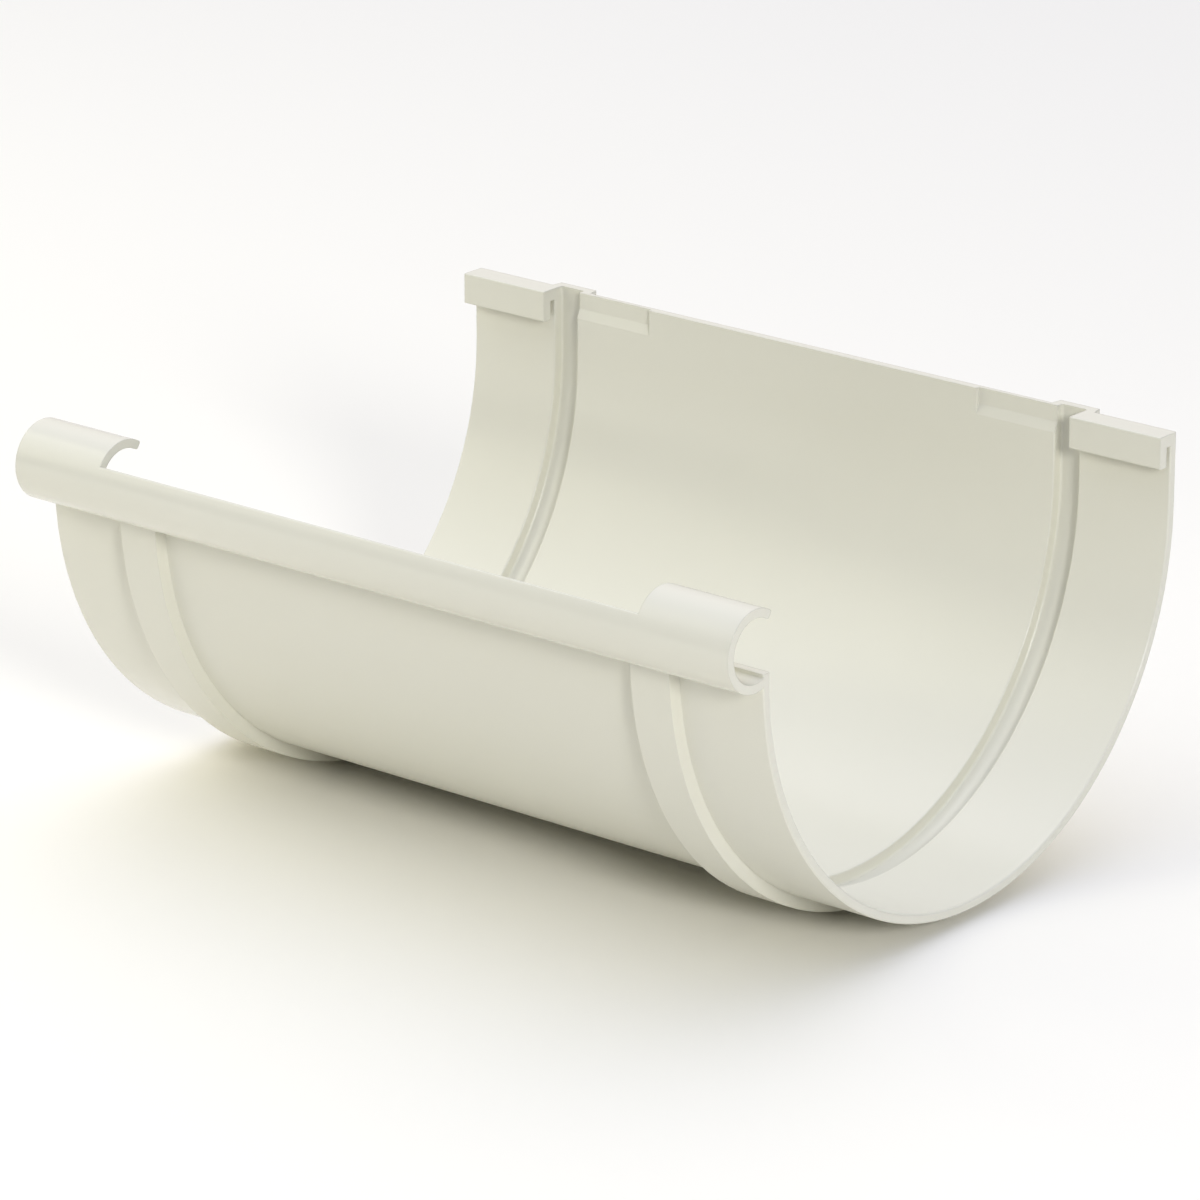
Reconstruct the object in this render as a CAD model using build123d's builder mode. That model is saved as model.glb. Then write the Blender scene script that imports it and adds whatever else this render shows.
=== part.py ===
"""Gutter union: the moulded trough that joins two lengths of half-round rainwater gutter.

Frame: +X runs along the gutter, +Y points to the fascia board (the tall back wall) and +Z is up.
The origin lies on the axis of the half-round, halfway along. All sizes are in millimetres.
The piece is one moulding. The gutters lie in the trough, their rolled front edge turns inside the
front bead, and their plain back edge slips up into the hooks at the two ends of the back wall.
"""
from build123d import *
import os
from math import acos, degrees

# Trough
length = 180.0
bore_radius = 64.0
wall = 1.9
back_rim = 15.0
end_edge_cut = 0.25

# Grips: the closed stretch of the front bead and the hook on the back wall, at each end
grip_length = 22.0

# Seal bands outside and seal grooves inside
band_width = 10.4
band_height = 2.5
band_draft = 11.0
groove_width = 6.1
groove_floor = 1.9
groove_edge_radius = 0.3
groove_corner_radius = 0.5

# Front bead, a tube with an open mouth towards the trough
bead_bore_radius = 6.4
bead_wall = 1.8
bead_out = 2.5
bead_up = 6.2
bead_tip_angle = 55.0
bead_tip_radius = 0.5
lip_angle = 33.0
lip_edge_radius = 0.4
front_step = 1.2

# Hooks on the back wall
hook_bar = 2.2
hook_slot = 1.4
hook_drop = 6.6
hook_web = 2.5
hook_edge_radius = 0.3

# Pockets that thin the rim of the back wall beside the grooves
pocket_length = 19.5
pocket_depth = 0.9
pocket_height = 3.4
pocket_ramp = 2.1

# Derived places
half_length = length / 2
wall_outer = bore_radius + wall
band_outer = wall_outer + band_height
groove_outer = band_outer - groove_floor
grip_start = half_length - grip_length
groove_start = grip_start - groove_width
band_centre = grip_start - groove_width / 2
pocket_start = groove_start - pocket_length
bead_outer_radius = bead_bore_radius + bead_wall
bead_middle_radius = bead_bore_radius + bead_wall / 2
bead_y = -(wall_outer + bead_out)
front_rim = bead_up - bead_bore_radius + front_step

os.makedirs("parts", exist_ok=True)


def corners_at(sketch, y, x_from, x_to):
    """Corners of a section at one height, between two distances from its middle."""
    close = 0.01
    return sketch.vertices().filter_by(
        lambda v: abs(v.Y - y) < close and x_from - close < abs(v.X) < x_to + close
    )


def ring_part(start_angle, end_angle, edge_radius):
    """The bead's section between two angles, with its free edge at the first one rounded."""
    with BuildSketch() as ring:
        with BuildLine():
            turn = end_angle - start_angle
            outer = CenterArc((bead_y, bead_up), bead_outer_radius, start_angle, turn)
            inner = CenterArc((bead_y, bead_up), bead_bore_radius, start_angle, turn)
            free_edge = Line(outer @ 0, inner @ 0)
            Line(outer @ 1, inner @ 1)
        make_face()
        fillet(ring.vertices().sort_by_distance(free_edge @ 0.5)[:2], edge_radius)
    return ring.sketch


with BuildPart() as gutter_union:
    # The section along the gutter: the plain wall, a band outside and a groove inside near each end
    with BuildSketch(Plane.XY) as long_section:
        with Locations((0, bore_radius)):
            Rectangle(length, wall, align=(Align.CENTER, Align.MIN))
        with Locations((-band_centre, wall_outer), (band_centre, wall_outer)):
            Trapezoid(band_width, band_height, 90 - band_draft, align=(Align.CENTER, Align.MIN))
        with Locations((-band_centre, bore_radius), (band_centre, bore_radius)):
            Rectangle(
                groove_width,
                groove_outer - bore_radius,
                align=(Align.CENTER, Align.MIN),
                mode=Mode.SUBTRACT,
            )
        fillet(corners_at(long_section, bore_radius, 0, grip_start), groove_edge_radius)
        fillet(corners_at(long_section, groove_outer, 0, grip_start), groove_corner_radius)
        chamfer(corners_at(long_section, bore_radius, half_length, half_length), end_edge_cut)
        chamfer(corners_at(long_section, wall_outer, half_length, half_length), end_edge_cut)

    # Turned half round under the axis, then carried straight up as the back wall
    revolve(axis=Axis((0, 0, 0), (-1, 0, 0)), revolution_arc=180)
    extrude(long_section.sketch, amount=back_rim)

    # The front wall stops low, just above the floor of the bead, and has no band there
    with BuildSketch(Plane.XY) as front_section:
        mirror(long_section.sketch, about=Plane.XZ)
        with Locations((0, -wall_outer)):
            Rectangle(length, 2 * band_height, align=(Align.CENTER, Align.MAX), mode=Mode.SUBTRACT)
    extrude(amount=front_rim)

    # The front bead starts inside the front wall, passes under, round and over, and ends in a tip
    bead_root_angle = 360 - degrees(acos((bead_out + wall / 2) / bead_middle_radius))
    with BuildSketch(Plane.YZ.offset(grip_start)) as bead_section:
        add(ring_part(bead_tip_angle, bead_root_angle, bead_tip_radius))
    extrude(amount=grip_length)
    mirror(extrude(bead_section.sketch, amount=grip_length, mode=Mode.PRIVATE), about=Plane.YZ)

    # Between the grips it stops early, at an edge that follows a radius of the bead, and leaves a lip
    with BuildSketch(Plane.YZ) as lip_section:
        add(ring_part(180 - lip_angle, bead_root_angle, lip_edge_radius))
    extrude(amount=grip_start, both=True)

    # The bore of the bead is cleared of the band tops, and the grooves of the bead's root
    with BuildSketch(Plane.YZ) as bead_bore:
        with Locations((bead_y, bead_up)):
            Circle(bead_bore_radius)
        with Locations((-wall_outer, bead_up)):
            Rectangle(
                bead_bore_radius,
                2 * bead_bore_radius,
                align=(Align.MIN, Align.CENTER),
                mode=Mode.SUBTRACT,
            )
    extrude(amount=half_length, both=True, mode=Mode.SUBTRACT)
    with BuildSketch(Plane.XY.offset(bead_up - bead_outer_radius)) as groove_mouth:
        with Locations((-band_centre, -groove_outer), (band_centre, -groove_outer)):
            Rectangle(groove_width, wall + bead_out, align=(Align.CENTER, Align.MIN))
    extrude(amount=bead_outer_radius, mode=Mode.SUBTRACT)

    # A hook at each end of the back wall: a web at the rim and a bar that hangs from it
    hook_front = bore_radius - hook_slot - hook_bar
    with BuildSketch(Plane.YZ.offset(grip_start)) as hook_section:
        with Locations((hook_front, back_rim)):
            Rectangle(hook_bar, hook_drop, align=(Align.MIN, Align.MAX))
            Rectangle(hook_bar + hook_slot + wall / 2, hook_web, align=(Align.MIN, Align.MAX))
        fillet(hook_section.vertices().group_by(Axis.X)[0], hook_edge_radius)
    extrude(amount=grip_length)
    mirror(extrude(hook_section.sketch, amount=grip_length, mode=Mode.PRIVATE), about=Plane.YZ)

    # Pockets in the inner face of the back wall, between the grooves and the plain middle
    with BuildSketch(Plane.YZ.offset(pocket_start)) as pocket_section:
        with BuildLine():
            Polyline(
                (bore_radius - pocket_depth, back_rim),
                (bore_radius + pocket_depth, back_rim),
                (bore_radius + pocket_depth, back_rim - pocket_height),
                (bore_radius, back_rim - pocket_height - pocket_ramp),
                (bore_radius - pocket_depth, back_rim - pocket_height - pocket_ramp),
                close=True,
            )
        make_face()
    extrude(amount=pocket_length, mode=Mode.SUBTRACT)
    mirror(
        extrude(pocket_section.sketch, amount=pocket_length, mode=Mode.PRIVATE),
        about=Plane.YZ,
        mode=Mode.SUBTRACT,
    )

gutter_union.part.label = "gutter_union"
export_step(gutter_union.part, "parts/gutter_union.step")
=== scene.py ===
# %% [markdown]
# A union for half-round rainwater gutter, dressed and lit for one picture.
# The real thing is a single moulding in ivory PVC: a trough with a seal band near each end, a bead along
# the front edge and a hook at each end of the back edge. The measured model arrives as a fixed frame and
# already holds every form of the piece, so this lesson is about light and finish.
# It works in metres, with +X along the gutter, +Y towards the fascia board and +Z up, and the origin lies
# on the axis of the trough.

# %% Load the measured model
import bpy
import bmesh
import math
from mathutils import Matrix, Vector


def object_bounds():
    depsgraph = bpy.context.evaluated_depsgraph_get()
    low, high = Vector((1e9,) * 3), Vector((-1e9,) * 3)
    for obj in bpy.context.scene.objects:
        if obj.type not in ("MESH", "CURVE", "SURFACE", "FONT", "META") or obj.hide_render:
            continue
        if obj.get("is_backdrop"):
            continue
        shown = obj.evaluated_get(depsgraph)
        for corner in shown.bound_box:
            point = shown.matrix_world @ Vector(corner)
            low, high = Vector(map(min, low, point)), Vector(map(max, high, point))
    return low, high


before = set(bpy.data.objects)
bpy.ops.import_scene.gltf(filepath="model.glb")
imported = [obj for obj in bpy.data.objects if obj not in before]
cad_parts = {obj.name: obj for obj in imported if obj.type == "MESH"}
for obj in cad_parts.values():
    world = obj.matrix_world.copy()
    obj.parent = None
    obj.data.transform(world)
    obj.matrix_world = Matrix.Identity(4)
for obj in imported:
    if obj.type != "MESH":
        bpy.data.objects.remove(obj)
cad_low, cad_high = (list(corner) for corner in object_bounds())
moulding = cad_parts["gutter_union"]
millimetre = 0.001
print("the model reaches from", [round(v, 4) for v in cad_low], "to", [round(v, 4) for v in cad_high])
print("the moulding has", len(moulding.data.polygons), "faces")

# %% [markdown]
# The camera comes first, because every later choice is judged through it.
# The photograph was taken from the front right, a little above, with a long lens, so the two ends of the
# trough look nearly the same size. The camera's place was worked out from the straight edges of the piece.
# The same lens on a sensor of 36 mm then gives the photograph's frame without any shift.

# %% Camera
camera_place = Vector((0.78838, -0.96290, 0.41344))
view_turn = math.radians(39.416)
view_height = math.radians(19.298)
focal_length = 197.9
sensor_width = 36.0
nearest_seen = 0.05
farthest_seen = 50.0


def direction(turn, height):
    """The unit vector from the trough towards a place, by its turn from the front and its height."""
    return Vector((
        math.sin(turn) * math.cos(height),
        -math.cos(turn) * math.cos(height),
        math.sin(height),
    ))


camera_data = bpy.data.cameras.new("camera")
camera_data.lens = focal_length
camera_data.sensor_width = sensor_width
camera_data.clip_start = nearest_seen
camera_data.clip_end = farthest_seen
camera = bpy.data.objects.new("camera", camera_data)
bpy.context.scene.collection.objects.link(camera)
camera.location = camera_place
camera.rotation_mode = "QUATERNION"
camera.rotation_quaternion = (-direction(view_turn, view_height)).to_track_quat("-Z", "Y")
bpy.context.scene.camera = camera
print("the camera stands", round(camera_place.length, 3), "m from the middle of the trough")

# %% [markdown]
# The photograph shows the piece on pure white. A pale floor comes close to that: it is wide enough to fill
# the picture behind the piece, and it throws light back up under the trough, which a real table does too.
# One large disc is enough, and it touches the piece only under the two seal bands. Its white is a little
# warm, because most of the light that falls on it is a little cool.

# %% Floor
floor_radius = 4.0
floor_sides = 96
floor_level = cad_low[2]
floor_white = (0.965, 0.95, 0.89)
floor_roughness = 0.9

floor_shape = bmesh.new()
floor_place = Matrix.Translation((0.0, 0.0, floor_level))
bmesh.ops.create_circle(
    floor_shape, cap_ends=True, segments=floor_sides, radius=floor_radius, matrix=floor_place
)
floor_mesh = bpy.data.meshes.new("floor")
floor_shape.to_mesh(floor_mesh)
floor_shape.free()
floor = bpy.data.objects.new("floor", floor_mesh)
bpy.context.scene.collection.objects.link(floor)

floor_paint = bpy.data.materials.new("floor_white")
floor_paint.use_nodes = True
floor_shader = floor_paint.node_tree.nodes["Principled BSDF"]
floor_shader.inputs["Base Color"].default_value = (*floor_white, 1.0)
floor_shader.inputs["Roughness"].default_value = floor_roughness
floor.data.materials.append(floor_paint)
floor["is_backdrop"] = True
print("the floor lies at", round(floor_level, 4), "m")

# %% [markdown]
# The photograph's light has three parts. Most of it is soft light from large pale surfaces, above and
# behind on the left: the faces that look up are the brightest, and no shadow has a hard edge.
# This part is the world itself, as a dome that glows round two directions. Each glow is the cosine of the
# angle from its middle, raised to a power, so it fades without an edge.
# The light from above is a little cool and the rest a little warm. The photograph shows that too: where
# the piece faces up it is nearly white, and its upright front is more yellow.

# %% Soft dome
bpy.context.scene.view_settings.view_transform = "Standard"

glow_sharpness = 3.0
glows = {
    "above": (Vector((0.0, 0.0, 1.0)), (1.12, 1.20, 1.48)),
    "behind on the left": (Vector((-0.7, 0.7, 0.7)), (1.25, 1.16, 1.06)),
}

world = bpy.data.worlds.new("dome")
bpy.context.scene.world = world
world.use_nodes = True
world_nodes = world.node_tree.nodes
world_links = world.node_tree.links
dome = world_nodes["Background"]
sky = world_nodes.new("ShaderNodeTexCoord").outputs["Generated"]


def world_step(kind, operation, *inputs):
    """A node of the world that works on outputs of other nodes and on fixed values."""
    node = world_nodes.new(kind)
    node.operation = operation
    for socket, value in zip(node.inputs, inputs):
        if isinstance(value, bpy.types.NodeSocket):
            world_links.new(value, socket)
        else:
            socket.default_value = value
    return node


def glow_light(middle, colour):
    """The coloured light of one glow, strongest towards its middle, as the output of its last node."""
    facing = world_step("ShaderNodeVectorMath", "DOT_PRODUCT", sky, middle.normalized())
    towards = world_step("ShaderNodeMath", "MAXIMUM", facing.outputs["Value"], 0.0)
    fading = world_step("ShaderNodeMath", "POWER", towards.outputs["Value"], glow_sharpness)
    light = world_step("ShaderNodeVectorMath", "SCALE", colour)
    world_links.new(fading.outputs["Value"], light.inputs["Scale"])
    return light.outputs["Vector"]


above, behind = (glow_light(middle, colour) for middle, colour in glows.values())
both = world_step("ShaderNodeVectorMath", "ADD", above, behind)
world_links.new(both.outputs["Vector"], dome.inputs["Color"])
print("the dome glows", " and ".join(glows))

# %% [markdown]
# The second part is one smaller lamp to the right of the camera and a little above it. It draws the thin
# bright lines on the rounded edges of the grooves, the dark strip beside each groove and the shadow that
# the hook throws into the groove. Its height and turn were read from that last shadow.
# It stands two metres away, so its light hardly falls off along the piece.

# %% Key lamp
key_turn = math.radians(57.0)
key_height = math.radians(22.0)
key_distance = 2.0
key_width = 0.45
key_power = 17.0
key_colour = (1.005, 0.995, 0.965)


def add_lamp(name, turn, height, distance, size, power, colour):
    """A round area lamp that looks at the middle of the trough."""
    data = bpy.data.lights.new(name, "AREA")
    data.shape = "DISK"
    data.size = size
    data.energy = power
    data.color = colour
    lamp = bpy.data.objects.new(name, data)
    bpy.context.scene.collection.objects.link(lamp)
    lamp.location = direction(turn, height) * distance
    lamp.rotation_mode = "QUATERNION"
    lamp.rotation_quaternion = (-direction(turn, height)).to_track_quat("-Z", "Y")
    return lamp


key = add_lamp("key_lamp", key_turn, key_height, key_distance, key_width, key_power, key_colour)
print("the lamp stands at", [round(v, 2) for v in key.location])

# %% [markdown]
# The third part is a large soft box near the left end. The photograph's left end is a little brighter
# than its right end, inside and out, and only a light that stands close by can do that: the dome shines
# with the same strength on both ends.

# %% Soft box
box_turn = math.radians(-65.0)
box_height = math.radians(25.0)
box_distance = 1.0
box_width = 0.9
box_power = 3.52
box_colour = (1.035, 1.0, 0.75)

soft_box = add_lamp("soft_box", box_turn, box_height, box_distance, box_width, box_power, box_colour)
print("the soft box stands at", [round(v, 2) for v in soft_box.location])

# %% [markdown]
# PVC-U for gutters is an opaque plastic that is dyed right through. The mould's faces are polished but not
# mirror bright, so the skin is satin. One material for the whole piece is true to the real thing.
# A flat colour would look like a drawing, so slow patterns of noise are laid over it. They read object
# coordinates, so that they stay on the piece. Noise seldom reaches the ends of its range, so its middle
# is spread over the values that are wanted.

# %% Moulded PVC
plastic_index = 1.50
noise_low = 0.3
noise_high = 0.7

pvc = bpy.data.materials.new("moulded_pvc")
pvc.use_nodes = True
pvc_nodes = pvc.node_tree.nodes
pvc_links = pvc.node_tree.links
shader = pvc_nodes["Principled BSDF"]
shader.inputs["IOR"].default_value = plastic_index
on_piece = pvc_nodes.new("ShaderNodeTexCoord").outputs["Object"]


def noise(scale, detail, stretch=(1.0, 1.0, 1.0)):
    """A noise pattern that is fixed to the piece, as the output of its node."""
    place = pvc_nodes.new("ShaderNodeMapping")
    place.inputs["Scale"].default_value = stretch
    pvc_links.new(on_piece, place.inputs["Vector"])
    pattern = pvc_nodes.new("ShaderNodeTexNoise")
    pattern.inputs["Scale"].default_value = scale
    pattern.inputs["Detail"].default_value = detail
    pvc_links.new(place.outputs["Vector"], pattern.inputs["Vector"])
    return pattern.outputs["Fac"]


def spread(pattern, low, high):
    """The middle range of a noise pattern, spread from one value to another."""
    node = pvc_nodes.new("ShaderNodeMapRange")
    node.inputs["From Min"].default_value = noise_low
    node.inputs["From Max"].default_value = noise_high
    node.inputs["To Min"].default_value = low
    node.inputs["To Max"].default_value = high
    pvc_links.new(pattern, node.inputs["Value"])
    return node.outputs["Result"]


print("the plastic's index of refraction is", plastic_index)

# %% [markdown]
# Two of the patterns go into the colour and the gloss. The colour drifts a little over some centimetres,
# and more slowly along the piece than across it, as it can where a melt has flowed. The gloss is uneven at
# about the size of a fingertip, within a narrow range.

# %% Ivory and gloss
ivory_pale = (0.755, 0.745, 0.655)
ivory_deep = (0.745, 0.735, 0.640)
flow_scale = 16.0
flow_detail = 2.0
flow_stretch = (0.6, 1.0, 1.0)
gloss_low = 0.20
gloss_high = 0.26
patch_scale = 55.0
patch_detail = 3.0

flow = noise(flow_scale, flow_detail, flow_stretch)
tint = pvc_nodes.new("ShaderNodeMix")
tint.data_type = "RGBA"
tint.inputs["A"].default_value = (*ivory_pale, 1.0)
tint.inputs["B"].default_value = (*ivory_deep, 1.0)
pvc_links.new(spread(flow, 0.0, 1.0), tint.inputs["Factor"])
pvc_links.new(tint.outputs["Result"], shader.inputs["Base Color"])

patches = noise(patch_scale, patch_detail)
pvc_links.new(spread(patches, gloss_low, gloss_high), shader.inputs["Roughness"])
print("the ivory drifts from", ivory_pale, "to", ivory_deep)

# %% [markdown]
# The skin itself isn't quite flat: it waves very slightly, as thin walls do when they cool. A relief in
# the shading is enough for that, because it only has to bend the reflections.
# Last, no moulded edge is sharp. The small radii that the measured model leaves out are made by the
# shader, which turns the normals near an edge, so each edge catches a thin line of light.

# %% Skin and edges
edge_radius = 0.30 * millimetre
edge_samples = 6
wave_scale = 28.0
wave_detail = 1.0
wave_depth = 0.10 * millimetre

rounded = pvc_nodes.new("ShaderNodeBevel")
rounded.samples = edge_samples
rounded.inputs["Radius"].default_value = edge_radius

waved = pvc_nodes.new("ShaderNodeBump")
waved.inputs["Distance"].default_value = wave_depth
pvc_links.new(noise(wave_scale, wave_detail), waved.inputs["Height"])
pvc_links.new(rounded.outputs["Normal"], waved.inputs["Normal"])
pvc_links.new(waved.outputs["Normal"], shader.inputs["Normal"])

moulding.data.materials.clear()
moulding.data.materials.append(pvc)
print("edges are rounded to", edge_radius / millimetre, "mm")
